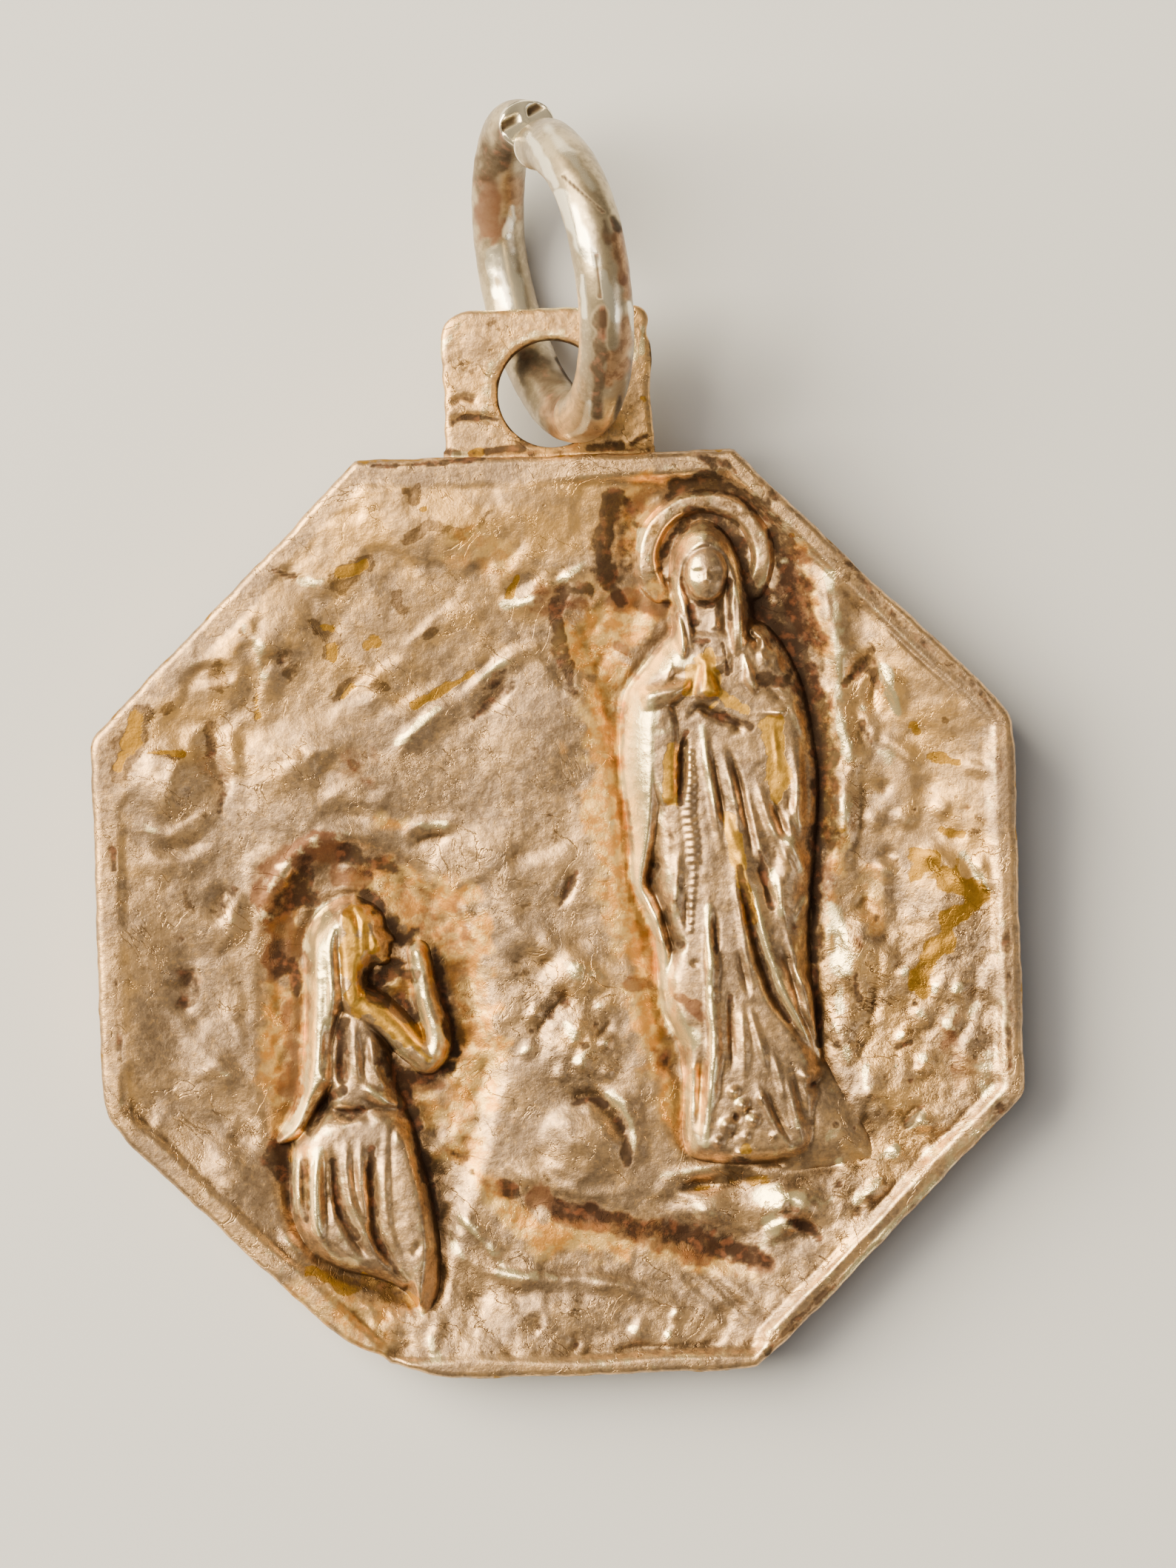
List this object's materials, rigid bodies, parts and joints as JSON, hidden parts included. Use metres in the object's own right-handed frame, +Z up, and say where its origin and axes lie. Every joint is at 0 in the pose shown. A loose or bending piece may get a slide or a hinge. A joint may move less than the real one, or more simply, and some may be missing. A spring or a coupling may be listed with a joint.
{
  "type": "religious medal with a jump ring",
  "caption": "Octagonal silver-plated brass devotional medal with a relief of a standing and a kneeling figure, a pierced eye on top and a round jump ring.",
  "frame": {"origin": "on the surface that the medal lies on, below the middle of the whole object's box", "axes": "+X to the right of the relief, +Y from the medal's foot towards its eye and ring, +Z up, out of the relief"},
  "size_m": [0.018, 0.0249, 0.0066],
  "materials": {
    "plated_brass": "worn silver plate, warm grey, brass-yellow where rubbed through, brown in the hollows",
    "silver_wire": "polished silver wire with light tarnish"
  },
  "bodies": {
    "root": {"medal": "plated_brass", "jump_ring": "silver_wire"}
  },
  "joints": []
}
